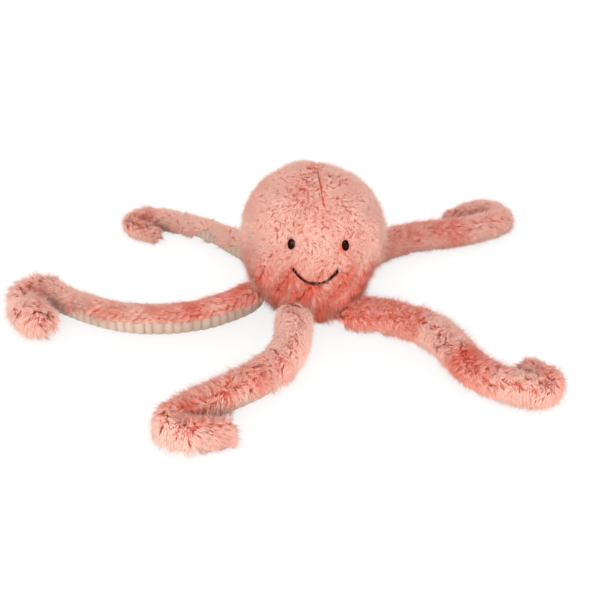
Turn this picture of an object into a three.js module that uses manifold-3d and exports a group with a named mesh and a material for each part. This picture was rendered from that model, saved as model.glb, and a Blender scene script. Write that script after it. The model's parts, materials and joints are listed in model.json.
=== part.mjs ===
// Plush octopus: a round head on a flat base, and five curled legs that lie on the floor.
// Millimetres, +Z up, face toward -Y, origin on the floor under the middle of the head.

import * as THREE from 'three';
import { mergeVertices } from 'three/addons/utils/BufferGeometryUtils.js';
import Module from 'manifold-3d';

const wasm = await Module();
wasm.setup();

// Head and body
const headRadius = 67;
const headCentreHeight = 68;
const baseSink = 4;
const undersideDepth = headCentreHeight + baseSink;
const undersidePower = 2.2;
const baseSeamHeight = 9;
const sideSeamSetback = 8;
const headFurThickness = 6;
const baseCordThickness = 3;
const headSides = 24;
const headRings = 12;

// Legs
const legLength = 255;
const legWidth = 31;
const legHeight = 29;
const legFurThickness = 5;
const legCordThickness = 3;
const legSeamHeight = 12;
const swellShare = 0.05;
const taperShare = 0.2;
const bendShare = 0.4;
const knuckleShare = 0.5;
const legSides = 10;
const coreSides = 6;
const knuckleSides = 14;
const stepLength = 40;
const stepTurn = 36;
const leastStepShare = 0.03;
const capShares = [0.35, 0.7];
const touchSteps = 60;

// Gaps between pieces, how deep each leg's root nests in its seat in the head's fur,
// and the flat that each leg has where it lies on the floor
const seamGap = 0.3;
const fillingGap = 0.3;
const jointClearance = 0.4;
const rootNest = 1.5;
const floorFlat = 0.5;
const cutOverrun = 5;

// Bean pouch in the base, as wide as a share of the room inside the fur at its seam
const pouchHeight = 19;
const pouchCloth = 1.2;
const pouchSides = 18;
const pouchRings = 8;
const pouchRoomShare = 0.79;
const pouchSeamHeight = baseCordThickness + fillingGap + pouchHeight / 2;
const pouchRadius = bodyRadiusAt(pouchSeamHeight, headFurThickness) * pouchRoomShare;

// Face: embroidered eyes and smile, let into the pile
const faceTurn = 1;
const faceRoll = 1.5;
const faceLatitude = 6;
const eyeWidth = 6;
const eyeHeight = 9;
const eyeDepth = 5;
const eyeProud = 1;
const eyeLongitude = 21;
const eyeLatitude = 18.2;
const smileThread = 2.2;
const smileProud = 0.7;
const smileHalfAngle = 16.3;
const smileLatitude = -0.5;
const smileDropAngle = 10.8;
const smilePower = 2.3;
const smileSteps = 10;
const smileSides = 5;
const eyeSides = 12;
const eyeRings = 6;

// Forehead dart
const dartLongitude = 7.5;
const dartStart = 44;
const dartEnd = 80;
const dartWidth = 2;
const dartDepth = 3.5;
const dartSteps = 6;

// Each leg: where its root sits, its first heading, how much of its length shows,
// and its bends from root to tip as [share of the leg's length, turn in degrees].
// Angles are seen from above: 0 points the way the face looks (-Y), and positive turns toward +X.
// Left and right are those of someone who faces the toy, so left is -X.
// swing is the way the whole leg swings up and down on its root.
const legs = [
  {
    name: 'front_left', place: -17, heading: 1, swing: -14, lengthShare: 0.96,
    bendShares: [[0.1, -5], [0.38, -50], [0.21, 1], [0.16, 158], [0.15, 2]],
  },
  {
    name: 'front_right', place: 41, heading: 84, swing: 54, lengthShare: 0.93,
    bendShares: [[0.16, -21], [0.2, -40], [0.13, -2], [0.18, 39], [0.075, 4], [0.165, 166], [0.09, 0]],
  },
  {
    name: 'left', place: -70, heading: -43, swing: -76, lengthShare: 1.11,
    bendShares: [[0.13, -20], [0.37, -55], [0.21, -13], [0.11, 140], [0.18, 45]],
  },
  {
    name: 'back_left', place: -138, heading: -134, swing: -120, lengthShare: 0.95,
    bendShares: [[0.26, -8], [0.43, 31], [0.165, 166], [0.145, 3]],
  },
  {
    name: 'back_right', place: 140, heading: 150, swing: 134, lengthShare: 1,
    bendShares: [[0.15, -18], [0.28, -30], [0.25, 25], [0.175, 172], [0.145, -4]],
  },
];

const furLook = { color: '#e0988a', roughness: 0.95, metalness: 0 };
const cordLook = { color: '#d9c8ae', roughness: 0.9, metalness: 0 };
const fillingLook = { color: '#f2efe8', roughness: 1, metalness: 0 };
const pouchLook = { color: '#e9e2d2', roughness: 0.9, metalness: 0 };
const beanLook = { color: '#dcd6c6', roughness: 0.5, metalness: 0 };
const threadLook = { color: '#2a1408', roughness: 0.6, metalness: 0 };

const octopus = new THREE.Group();

// Solids, joined and cut

function toSolid(geometry) {
  const bare = geometry.clone();
  bare.deleteAttribute('normal');
  bare.deleteAttribute('uv');
  const merged = mergeVertices(bare);
  const index = merged.index.array;
  const triangles = [];
  for (let i = 0; i < index.length; i += 3) {
    const [a, b, c] = [index[i], index[i + 1], index[i + 2]];
    if (a !== b && b !== c && c !== a) triangles.push(a, b, c);
  }
  return new wasm.Manifold(new wasm.Mesh({
    numProp: 3,
    vertProperties: new Float32Array(merged.attributes.position.array),
    triVerts: new Uint32Array(triangles),
  }));
}

function addPiece(name, solid, look) {
  const mesh = solid.getMesh();
  const geometry = new THREE.BufferGeometry();
  geometry.setAttribute('position', new THREE.BufferAttribute(new Float32Array(mesh.vertProperties), 3));
  geometry.setIndex(new THREE.BufferAttribute(new Uint32Array(mesh.triVerts), 1));
  geometry.computeVertexNormals();
  const piece = new THREE.Mesh(geometry, new THREE.MeshStandardMaterial(look));
  piece.name = name;
  octopus.add(piece);
}

function boxBetween(low, high) {
  const size = new THREE.Vector3().subVectors(high, low);
  const middle = new THREE.Vector3().addVectors(low, high).multiplyScalar(0.5);
  return toSolid(new THREE.BoxGeometry(size.x, size.y, size.z).translate(middle.x, middle.y, middle.z));
}

// Half of space above or below a height, as wide as the whole toy needs
const reach = headRadius + legLength * 2;

function above(height) {
  return boxBetween(new THREE.Vector3(-reach, -reach, height), new THREE.Vector3(reach, reach, reach));
}

function below(height) {
  return boxBetween(new THREE.Vector3(-reach, -reach, -reach), new THREE.Vector3(reach, reach, height));
}

// Head: a ball above its middle, and below it a fuller curve that stands flat on the floor

function bodyRadiusAt(height, inset = 0) {
  const radius = headRadius - inset;
  const isBall = height >= headCentreHeight;
  const depth = isBall ? radius : undersideDepth - inset;
  const power = isBall ? 2 : undersidePower;
  const rise = Math.min(1, Math.abs(height - headCentreHeight) / depth);
  return radius * Math.pow(1 - Math.pow(rise, power), 1 / power);
}

function bodySolid(inset, floorHeight) {
  const top = headCentreHeight + headRadius - inset;
  const lowest = headCentreHeight - (undersideDepth - inset);
  const profile = [];
  for (let i = 0; i <= headRings; i += 1) {
    const height = THREE.MathUtils.lerp(lowest, top, (1 - Math.cos(Math.PI * i / headRings)) / 2);
    profile.push(new THREE.Vector2(i % headRings ? bodyRadiusAt(height, inset) : 0, height));
  }
  const ball = toSolid(new THREE.LatheGeometry(profile, headSides).rotateX(Math.PI / 2));
  return ball.intersect(above(floorHeight));
}

// Directions on the face: longitude toward +X and latitude up, turned and rolled with the face

function facePoint(longitude, latitude, radius) {
  const roll = THREE.MathUtils.degToRad(faceRoll);
  const up = latitude - faceLatitude;
  const lon = longitude * Math.cos(roll) + up * Math.sin(roll) + faceTurn;
  const lat = up * Math.cos(roll) - longitude * Math.sin(roll) + faceLatitude;
  return headPoint(lon, lat, radius);
}

function headPoint(longitude, latitude, radius) {
  const lon = THREE.MathUtils.degToRad(longitude);
  const lat = THREE.MathUtils.degToRad(latitude);
  const flat = Math.cos(lat) * radius;
  return new THREE.Vector3(
    Math.sin(lon) * flat,
    -Math.cos(lon) * flat,
    headCentreHeight + Math.sin(lat) * radius,
  );
}

// An embroidered eye is an upright oval pad, flattened against the head
function eyeSolid(side, clearance) {
  const middle = facePoint(side * eyeLongitude, eyeLatitude, headRadius + eyeProud - eyeDepth / 2);
  const outward = new THREE.Vector3(0, 0, headCentreHeight).sub(middle).negate().normalize();
  const across = new THREE.Vector3(0, 0, 1).cross(outward).normalize();
  const upright = new THREE.Vector3().crossVectors(outward, across);
  const shape = new THREE.SphereGeometry(1, eyeSides, eyeRings);
  shape.scale(eyeWidth / 2 + clearance, eyeHeight / 2 + clearance, eyeDepth / 2 + clearance);
  shape.applyMatrix4(new THREE.Matrix4().makeBasis(across, upright, outward).setPosition(middle));
  return toSolid(shape);
}

// The smile is one thick thread along a curve on the head, flat-bottomed like a wide U
function smileSolid(clearance) {
  const points = [];
  const radius = headRadius + smileProud - smileThread / 2;
  for (let i = 0; i <= smileSteps; i += 1) {
    const share = 2 * i / smileSteps - 1;
    const drop = smileDropAngle * (1 - Math.pow(Math.abs(share), smilePower));
    points.push(facePoint(share * smileHalfAngle, smileLatitude - drop, radius));
  }
  const section = new THREE.Shape();
  for (let i = 0; i < smileSides; i += 1) {
    const angle = 2 * Math.PI * i / smileSides;
    const half = smileThread / 2 + clearance;
    const move = i ? 'lineTo' : 'moveTo';
    section[move](Math.cos(angle) * half, Math.sin(angle) * half);
  }
  section.closePath();
  const curve = new THREE.CatmullRomCurve3(points);
  return toSolid(new THREE.ExtrudeGeometry(section, { steps: smileSteps, extrudePath: curve }));
}

// The forehead dart is a narrow wedge cut down a meridian, widest at the surface
function dartSolid() {
  const outline = new THREE.Shape();
  for (let i = 0; i <= dartSteps; i += 1) {
    const angle = THREE.MathUtils.degToRad(THREE.MathUtils.lerp(dartStart, dartEnd, i / dartSteps));
    const depth = dartDepth * Math.sin(Math.PI * i / dartSteps);
    const radius = headRadius - depth;
    const move = i ? 'lineTo' : 'moveTo';
    outline[move](Math.cos(angle) * radius, Math.sin(angle) * radius);
  }
  const far = headRadius + cutOverrun;
  const last = THREE.MathUtils.degToRad(dartEnd);
  const first = THREE.MathUtils.degToRad(dartStart);
  outline.lineTo(Math.cos(last) * far, Math.sin(last) * far);
  outline.lineTo(Math.cos(first) * far, Math.sin(first) * far);
  outline.closePath();
  const wedge = new THREE.ExtrudeGeometry(outline, { depth: dartWidth, bevelEnabled: false });
  wedge.translate(0, 0, -dartWidth / 2);
  wedge.rotateX(Math.PI / 2);
  wedge.rotateZ(THREE.MathUtils.degToRad(dartLongitude) - Math.PI / 2);
  return toSolid(wedge.translate(0, 0, headCentreHeight));
}

// Legs: a route on the floor, made of arcs, and the half sizes of the section along it

class LegRoute {
  constructor(leg) {
    this.length = legLength * leg.lengthShare;
    this.arcs = [];
    let heading = THREE.MathUtils.degToRad(leg.heading);
    let start = pivotPlace(leg);
    let at = 0;
    for (const [share, turn] of leg.bendShares) {
      const length = share * this.length;
      const rate = THREE.MathUtils.degToRad(turn) / length;
      this.arcs.push({ at, length, start, heading, rate });
      start = LegRoute.along({ start, heading, rate }, length).place;
      heading += rate * length;
      at += length;
    }
  }

  static along({ start, heading, rate }, distance) {
    const turned = heading + rate * distance;
    const place = start.clone();
    if (rate === 0) {
      place.x += Math.sin(heading) * distance;
      place.y -= Math.cos(heading) * distance;
    } else {
      place.x += (Math.cos(heading) - Math.cos(turned)) / rate;
      place.y += (Math.sin(heading) - Math.sin(turned)) / rate;
    }
    return { place, heading: turned };
  }

  at(distance) {
    const inside = THREE.MathUtils.clamp(distance, 0, this.length);
    const arc = this.arcs.findLast((one) => one.at <= inside);
    const { place, heading } = LegRoute.along(arc, inside - arc.at);
    const along = new THREE.Vector3(Math.sin(heading), -Math.cos(heading), 0);
    const lateral = new THREE.Vector3(-Math.cos(heading), -Math.sin(heading), 0);
    return { place, along, lateral };
  }

  // Sections lie closer together where the leg turns
  stationsBetween(from, to) {
    const margin = stepLength * leastStepShare;
    const found = [from];
    for (const { at, length, rate } of this.arcs) {
      const turn = THREE.MathUtils.radToDeg(Math.abs(rate * length));
      const steps = Math.ceil(Math.max(turn / stepTurn, length / stepLength));
      for (let i = 0; i < steps; i += 1) {
        const distance = at + length * i / steps;
        if (distance > from + margin && distance < to - margin) found.push(distance);
      }
    }
    return [...found, to];
  }

  // A leg swells a little in the middle and tapers to its tip
  fullness(distance) {
    const share = THREE.MathUtils.clamp(distance / this.length, 0, 1);
    return 1 + swellShare * Math.sin(Math.PI * share) - taperShare * share;
  }

  halfWidth(distance) {
    return legWidth / 2 * this.fullness(distance);
  }

  halfHeight(distance) {
    return legHeight / 2 * this.fullness(distance);
  }

  axisHeight(distance) {
    return this.halfHeight(distance) - floorFlat;
  }
}

// The root's rounded end meets the body beside the base: of all heights that its ball
// reaches, the one where body and ball together stand out furthest sets its place,
// and the root then nests a little deeper, in a seat of its own shape
function pivotPlace(leg) {
  const ball = legHeight / 2 + jointClearance;
  const axis = legHeight / 2 - floorFlat;
  let radius = 0;
  for (let i = -touchSteps; i <= touchSteps; i += 1) {
    const rise = ball * i / touchSteps;
    radius = Math.max(radius, bodyRadiusAt(axis + rise) + Math.sqrt(ball ** 2 - rise ** 2));
  }
  radius -= rootNest;
  const angle = THREE.MathUtils.degToRad(leg.place);
  return new THREE.Vector3(Math.sin(angle) * radius, -Math.cos(angle) * radius, 0);
}

// A length of leg: a lathe shape of unit radius, carried along the route.
// A rounded end is half an oval as long as the section's half height; a flat end stops square.
function limbSolid(route, { from, to, roundFrom, roundTo, sides, side, top, bottom }) {
  const capFrom = roundFrom ? route.halfHeight(from) - side : 0;
  const capTo = roundTo ? route.halfHeight(to) - side : 0;
  const profile = [new THREE.Vector2(0, from - capFrom)];
  const capAngles = capShares.map((share) => share * Math.PI / 2);
  for (const angle of roundFrom ? capAngles : []) {
    profile.push(new THREE.Vector2(Math.sin(angle), from - capFrom * Math.cos(angle)));
  }
  for (const distance of route.stationsBetween(from, to)) {
    profile.push(new THREE.Vector2(1, distance));
  }
  for (const angle of roundTo ? capAngles.toReversed() : []) {
    profile.push(new THREE.Vector2(Math.sin(angle), to + capTo * Math.cos(angle)));
  }
  profile.push(new THREE.Vector2(0, to + capTo));
  const shape = new THREE.LatheGeometry(profile, sides);
  const position = shape.attributes.position;
  for (let i = 0; i < position.count; i += 1) {
    const distance = THREE.MathUtils.clamp(position.getY(i), from, to);
    const { place, along, lateral } = route.at(distance);
    const across = position.getX(i) * (route.halfWidth(distance) - side);
    const rise = position.getZ(i) * (route.halfHeight(distance) - (top + bottom) / 2);
    place.addScaledVector(lateral, across);
    place.addScaledVector(along, position.getY(i) - distance);
    place.z = route.axisHeight(distance) + (bottom - top) / 2 + rise;
    position.setXYZ(i, place.x, place.y, place.z);
  }
  return toSolid(shape);
}

// The oval that a rounded end turns in, with the clearance of its seat.
// Its flat faces lie outside the true oval, so that the clearance holds between the corners too.
function knuckleSolid(route, distance, clearance) {
  const { place, along, lateral } = route.at(distance);
  const upright = new THREE.Vector3(0, 0, 1);
  const spread = 1 / Math.cos(Math.PI / knuckleSides) ** 2;
  const round = (route.halfHeight(distance) + clearance) * spread;
  const shape = new THREE.SphereGeometry(1, knuckleSides, knuckleSides / 2);
  shape.scale(round, (route.halfWidth(distance) + clearance) * spread, round);
  place.z = route.axisHeight(distance);
  shape.applyMatrix4(new THREE.Matrix4().makeBasis(upright, lateral, along).setPosition(place));
  return toSolid(shape);
}

// One link of a leg: fur over the top, cord under it, and the filling inside them
function addLink(name, route, span) {
  const wall = { side: legFurThickness, top: legFurThickness, bottom: legCordThickness };
  const core = {
    side: wall.side + fillingGap,
    top: wall.top + fillingGap,
    bottom: wall.bottom + fillingGap,
  };
  const skin = { sides: legSides, side: 0, top: 0, bottom: 0 };
  const outside = limbSolid(route, { ...span, ...skin, to: span.outerEnd });
  const hollow = limbSolid(route, { ...span, ...wall, sides: coreSides, to: span.innerEnd });
  const fillingEnd = span.innerEnd - (span.roundTo ? 0 : fillingGap);
  const filling = limbSolid(route, { ...span, ...core, sides: coreSides, to: fillingEnd });
  const seated = span.seat ? outside.subtract(span.seat) : outside;
  const cover = seated.subtract(hollow).intersect(above(0));
  addPiece(`${name}_fur`, cover.intersect(above(legSeamHeight + seamGap / 2)), furLook);
  addPiece(`${name}_cord`, cover.intersect(below(legSeamHeight - seamGap / 2)), cordLook);
  addPiece(`${name}_filling`, filling, fillingLook);
}

function addLeg(leg) {
  const route = new LegRoute(leg);
  const bend = route.length * bendShare;
  const tip = route.length - route.halfHeight(route.length);
  const knuckle = route.halfHeight(bend);
  addLink(`${leg.name}_leg_inner`, route, {
    from: 0,
    roundFrom: true,
    roundTo: false,
    outerEnd: bend - knuckle * knuckleShare,
    innerEnd: bend - knuckle - jointClearance - legFurThickness,
    seat: knuckleSolid(route, bend, jointClearance),
  });
  addLink(`${leg.name}_leg_outer`, route, {
    from: bend,
    roundFrom: true,
    roundTo: true,
    outerEnd: tip,
    innerEnd: tip,
  });
}

// Head panels: one in front with the face and the dart, two behind, and the base underneath
function addHead() {
  let cover = bodySolid(0, 0).subtract(bodySolid(headFurThickness, baseCordThickness));
  for (const leg of legs) cover = cover.subtract(knuckleSolid(new LegRoute(leg), 0, jointClearance));
  const half = seamGap / 2;
  const upper = cover.intersect(above(baseSeamHeight + half));
  const front = new THREE.Vector3(reach, sideSeamSetback - half, reach);
  const behind = new THREE.Vector3(-reach, sideSeamSetback + half, -reach);
  let face = upper.intersect(boxBetween(new THREE.Vector3(-reach, -reach, -reach), front));
  face = face.subtract(eyeSolid(-1, seamGap)).subtract(eyeSolid(1, seamGap));
  face = face.subtract(smileSolid(seamGap)).subtract(dartSolid());
  const leftCorner = new THREE.Vector3(-half, reach, reach);
  const rightCorner = new THREE.Vector3(half, behind.y, -reach);
  const farCorner = new THREE.Vector3(reach, reach, reach);
  addPiece('face_panel', face, furLook);
  addPiece('head_back_panel_left', upper.intersect(boxBetween(behind, leftCorner)), furLook);
  addPiece('head_back_panel_right', upper.intersect(boxBetween(rightCorner, farCorner)), furLook);
  addPiece('base_panel', cover.intersect(below(baseSeamHeight - half)), cordLook);
  addPiece('eye_left', eyeSolid(-1, 0), threadLook);
  addPiece('eye_right', eyeSolid(1, 0), threadLook);
  addPiece('mouth_smile', smileSolid(0), threadLook);
}

// Inside the head: the pouch of beans that rests on the base panel, and the filling round it
function pouchSolid(inset) {
  const shape = new THREE.SphereGeometry(1, pouchSides, pouchRings).rotateX(Math.PI / 2);
  shape.scale(pouchRadius - inset, pouchRadius - inset, pouchHeight / 2 - inset);
  return toSolid(shape.translate(0, 0, pouchSeamHeight));
}

function addInside() {
  const cloth = pouchSolid(0).subtract(pouchSolid(pouchCloth));
  addPiece('bean_pouch_upper', cloth.intersect(above(pouchSeamHeight + seamGap / 2)), pouchLook);
  addPiece('bean_pouch_lower', cloth.intersect(below(pouchSeamHeight - seamGap / 2)), pouchLook);
  addPiece('bean_filling', pouchSolid(pouchCloth + fillingGap), beanLook);
  const stuffing = bodySolid(headFurThickness + fillingGap, baseCordThickness + fillingGap);
  addPiece('head_filling', stuffing.subtract(pouchSolid(-fillingGap)), fillingLook);
}

addHead();
addInside();
for (const leg of legs) addLeg(leg);

export default octopus;
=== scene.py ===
# Plush octopus: a soft toy with a round head and five curled legs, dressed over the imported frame.
# Shapes are worked out in millimetres and turned to metres when a mesh is made.

import json
import math

import bpy
import numpy as np
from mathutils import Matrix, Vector


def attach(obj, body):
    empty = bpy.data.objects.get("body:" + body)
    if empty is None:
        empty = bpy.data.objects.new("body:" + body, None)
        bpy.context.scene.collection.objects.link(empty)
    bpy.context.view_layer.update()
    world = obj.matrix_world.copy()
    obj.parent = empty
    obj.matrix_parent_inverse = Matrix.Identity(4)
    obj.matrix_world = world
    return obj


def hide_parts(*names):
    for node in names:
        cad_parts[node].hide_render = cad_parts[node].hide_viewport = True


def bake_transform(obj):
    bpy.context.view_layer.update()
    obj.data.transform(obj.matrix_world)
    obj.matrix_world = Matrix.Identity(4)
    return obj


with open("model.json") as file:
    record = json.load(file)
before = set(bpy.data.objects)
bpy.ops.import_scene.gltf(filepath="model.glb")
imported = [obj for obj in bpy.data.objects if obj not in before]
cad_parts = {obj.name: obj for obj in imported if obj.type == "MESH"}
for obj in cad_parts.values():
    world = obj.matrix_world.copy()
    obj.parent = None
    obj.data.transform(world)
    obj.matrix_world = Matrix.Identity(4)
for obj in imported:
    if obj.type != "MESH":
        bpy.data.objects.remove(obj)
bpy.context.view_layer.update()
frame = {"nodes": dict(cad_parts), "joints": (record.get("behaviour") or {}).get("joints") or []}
mm = 0.001
golden = math.pi * (3 - math.sqrt(5))  # the angle that spreads points evenly round a centre
jointSpot = {j["name"]: np.array(j["pos_m"]) / mm for j in frame["joints"]}


# Camera, floor and light

cameraSet = {
    "elevation": 30.0,  # degrees above the floor
    "distance": 1.0,  # metres from the toy's foot
    "aside": -0.0139,  # metres to the left, so the toy stands right of the middle
    "lift": 0.0008,  # metres up, so the toy stands a little lower in the picture
    "lens": 64.9,  # millimetres, as the sensor
    "sensor": 36.0,
}

stageSet = {
    "floorSide": 6.0,  # metres
    "floor": "#F4F3F1",
    "glow": 0.8,  # share of the floor that shows as plain white to the camera
    "world": "#FFFFFF",
    "worldStrength": 0.92,
}

# Each lamp: where it hangs, its side in metres, its power in watts and its colour
lamps = {
    "key": {"place": (-0.4, -1.6, 1.15), "side": 0.9, "power": 10, "colour": "#FFFBF6"},
    "low": {"place": (0, -1.6, 0.35), "side": 0.9, "power": 22, "colour": "#FFFDFA"},
    "fill": {"place": (1.3, -0.9, 0.6), "side": 1.2, "power": 2, "colour": "#FFFDFC"},
    "rim_left": {"place": (-1.2, 0.9, 1.0), "side": 0.8, "power": 8, "colour": "#FFFDF8"},
    "rim_right": {"place": (1.2, 1.0, 1.0), "side": 0.8, "power": 6, "colour": "#FFFDF8"},
    "back": {"place": (0.2, 1.6, 1.1), "side": 1.0, "power": 7, "colour": "#FFFDF8"},
}


def linear(hexColour):
    # An sRGB hex value as linear red, green, blue and alpha
    parts = [int(hexColour[i:i + 2], 16) / 255 for i in (1, 3, 5)]
    return (*[c / 12.92 if c <= 0.04045 else ((c + 0.055) / 1.055) ** 2.4 for c in parts], 1.0)


def addNode(tree, kind, settings=None, links=None):
    # One node: its properties, its input values by name or number, its ramp stops, and its links
    node = tree.nodes.new(kind)
    for key, value in (settings or {}).items():
        if key == "stops":
            while len(node.color_ramp.elements) < len(value):
                node.color_ramp.elements.new(1.0)
            for element, (position, hexColour) in zip(node.color_ramp.elements, value):
                element.position, element.color = position, linear(hexColour)
        elif isinstance(key, int) or key in node.inputs:
            node.inputs[key].default_value = value
        else:
            setattr(node, key, value)
    for key, socket in (links or {}).items():
        tree.links.new(socket, node.inputs[key])
    return node


def newMaterial(name):
    material = bpy.data.materials.new(name)
    material.use_nodes = True
    material.node_tree.nodes.clear()
    return material, material.node_tree


def buildCamera():
    tilt = math.radians(cameraSet["elevation"])
    data = bpy.data.cameras.new("camera")
    data.lens, data.sensor_width = cameraSet["lens"], cameraSet["sensor"]
    camera = bpy.data.objects.new("camera", data)
    camera.location = (
        cameraSet["aside"],
        -math.cos(tilt) * cameraSet["distance"],
        math.sin(tilt) * cameraSet["distance"] + cameraSet["lift"],
    )
    camera.rotation_euler = (math.pi / 2 - tilt, 0, 0)
    bpy.context.scene.collection.objects.link(camera)
    bpy.context.scene.camera = camera


def buildStage():
    half = stageSet["floorSide"] / 2
    mesh = bpy.data.meshes.new("floor")
    corners = [(-half, -half, 0), (half, -half, 0), (half, half, 0), (-half, half, 0)]
    mesh.from_pydata(corners, [], [(0, 1, 2, 3)])
    floor = bpy.data.objects.new("floor", mesh)
    bpy.context.scene.collection.objects.link(floor)
    material, tree = newMaterial("matt_paper")  # a sheet of white paper: no gloss, a soft shadow
    paper = addNode(tree, "ShaderNodeBsdfPrincipled",
                    {"Base Color": linear(stageSet["floor"]), "Roughness": 0.9})
    plain = addNode(tree, "ShaderNodeEmission", {"Color": (1, 1, 1, 1), "Strength": 1.0})
    path = addNode(tree, "ShaderNodeLightPath")
    seen = addNode(tree, "ShaderNodeMath", {"operation": "MULTIPLY", 1: stageSet["glow"]},
                   {0: path.outputs["Is Camera Ray"]})
    both = addNode(tree, "ShaderNodeMixShader", {},
                   {0: seen.outputs[0], 1: paper.outputs[0], 2: plain.outputs[0]})
    addNode(tree, "ShaderNodeOutputMaterial", {}, {"Surface": both.outputs[0]})
    mesh.materials.append(material)

    world = bpy.data.worlds.new("studio")
    bpy.context.scene.world = world
    world.use_nodes = True
    tree = world.node_tree
    tree.nodes.clear()
    path = addNode(tree, "ShaderNodeLightPath")
    soft = addNode(tree, "ShaderNodeBackground",
                   {"Color": linear(stageSet["world"]), "Strength": stageSet["worldStrength"]})
    plain = addNode(tree, "ShaderNodeBackground", {"Color": (1, 1, 1, 1), "Strength": 1.0})
    both = addNode(tree, "ShaderNodeMixShader", {},
                   {0: path.outputs["Is Camera Ray"], 1: soft.outputs[0], 2: plain.outputs[0]})
    addNode(tree, "ShaderNodeOutputWorld", {}, {"Surface": both.outputs[0]})

    for name, lamp in lamps.items():
        data = bpy.data.lights.new(name, "AREA")
        data.size, data.energy = lamp["side"], lamp["power"]
        data.color = linear(lamp["colour"])[:3]
        light = bpy.data.objects.new(name, data)
        place = np.array(lamp["place"])
        light.location = place
        light.rotation_euler = Vector(-place).to_track_quat("-Z", "Y").to_euler()
        bpy.context.scene.collection.objects.link(light)
    bpy.context.scene.view_settings.view_transform = "Standard"


# Meshes and smooth noise

def meshPiece(name, points, faces, material, uv):
    # points in millimetres; faces a list of index arrays with three or four columns; uv one pair a corner
    mesh = bpy.data.meshes.new(name)
    corners = np.concatenate([f.ravel() for f in faces]).astype(np.int32)
    sizes = np.concatenate([np.full(len(f), f.shape[1]) for f in faces])
    starts = np.concatenate([[0], np.cumsum(sizes)[:-1]]).astype(np.int32)
    mesh.vertices.add(len(points))
    mesh.vertices.foreach_set("co", (points * mm).astype(np.float32).ravel())
    mesh.loops.add(len(corners))
    mesh.loops.foreach_set("vertex_index", corners)
    mesh.polygons.add(len(starts))
    mesh.polygons.foreach_set("loop_start", starts)
    mesh.polygons.foreach_set("use_smooth", np.ones(len(starts), bool))
    layer = mesh.uv_layers.new(name="OFBake")
    layer.uv.foreach_set("vector", uv.astype(np.float32).ravel())
    mesh.update(calc_edges=True)
    mesh.validate()
    mesh.materials.append(material)
    piece = bpy.data.objects.new(name, mesh)
    bpy.context.scene.collection.objects.link(piece)
    return piece


def gridFaces(rows, columns):
    # Quads between the rows of a grid whose last column joins its first
    row, column = np.meshgrid(np.arange(rows - 1), np.arange(columns), indexing="ij")
    beside = (column + 1) % columns
    return np.stack([row * columns + column, row * columns + beside,
                     (row + 1) * columns + beside, (row + 1) * columns + column], -1).reshape(-1, 4)


def gridCorners(rows, columns):
    # The same quads' places on the map: columns across, rows up
    row, column = np.meshgrid(np.arange(rows - 1), np.arange(columns), indexing="ij")
    u = np.stack([column, column + 1, column + 1, column], -1) / columns
    v = np.stack([row, row, row + 1, row + 1], -1) / (rows - 1)
    return np.stack([u, v], -1).reshape(-1, 2)


def fanCorners(columns, sides, middle, rim):
    # A fan's places on the map: for each triangle its middle, then the two ends of its side on the rim
    column = np.arange(columns)
    across = np.stack([column + 0.5] + [column + side for side in sides], -1) / columns
    return np.stack([across, np.broadcast_to([middle, rim, rim], across.shape)], -1)


def closedTube(name, points, material):
    # points is rows by columns by 3: rings that join round, closed by a fan at each end
    rows, columns = points.shape[:2]
    flat = points.reshape(-1, 3)
    ends = np.stack([points[0].mean(0), points[-1].mean(0)])
    first, last = len(flat), len(flat) + 1
    column = np.arange(columns)
    beside = (column + 1) % columns
    bottom = np.stack([np.full(columns, first), beside, column], -1)
    top = np.stack([np.full(columns, last), column + (rows - 1) * columns, beside + (rows - 1) * columns], -1)
    fan = fanCorners(columns, (1, 0), 0.0, 0.002)
    fanTop = fanCorners(columns, (0, 1), 1.0, 0.998)
    uv = np.concatenate([gridCorners(rows, columns), fan.reshape(-1, 2), fanTop.reshape(-1, 2)])
    whole = np.concatenate([flat, ends])
    faces = [gridFaces(rows, columns), bottom, top]
    if outwardShare(whole, faces[0]) < 0:
        faces = [f[:, ::-1] for f in faces]
        uv = np.concatenate([part[:, ::-1].reshape(-1, 2) for part in (
            gridCorners(rows, columns).reshape(-1, 4, 2), fan, fanTop)])
    return meshPiece(name, whole, faces, material, uv)


def outwardShare(points, quads):
    # The volume that the faces enclose: positive where they point outwards
    a, b, c, d = (points[quads[:, i]] for i in range(4))
    return (np.einsum("ij,ij->i", a, np.cross(b, c)) + np.einsum("ij,ij->i", a, np.cross(c, d))).sum()


def unit(vectors):
    return vectors / np.maximum(np.linalg.norm(vectors, axis=-1, keepdims=True), 1e-9)


def drift(points, size, seed):
    # Smooth noise from about -1 to 1: eight waves of about that length in random directions, added up
    rng = np.random.default_rng(seed)
    number, level = 8, 2.4  # how many waves, and what brings their sum to about 1
    waves = unit(rng.normal(size=(number, 3))) * (2 * np.pi / size) * rng.uniform(0.6, 1.4, (number, 1))
    return np.sin(points @ waves.T + rng.uniform(0, 2 * np.pi, number)).sum(-1) / level


def blendStep(low, high, value):
    # A smooth rise from 0 to 1 between low and high
    share = np.clip((value - low) / (high - low), 0, 1)
    return share * share * (3 - 2 * share)


# Materials

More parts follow.
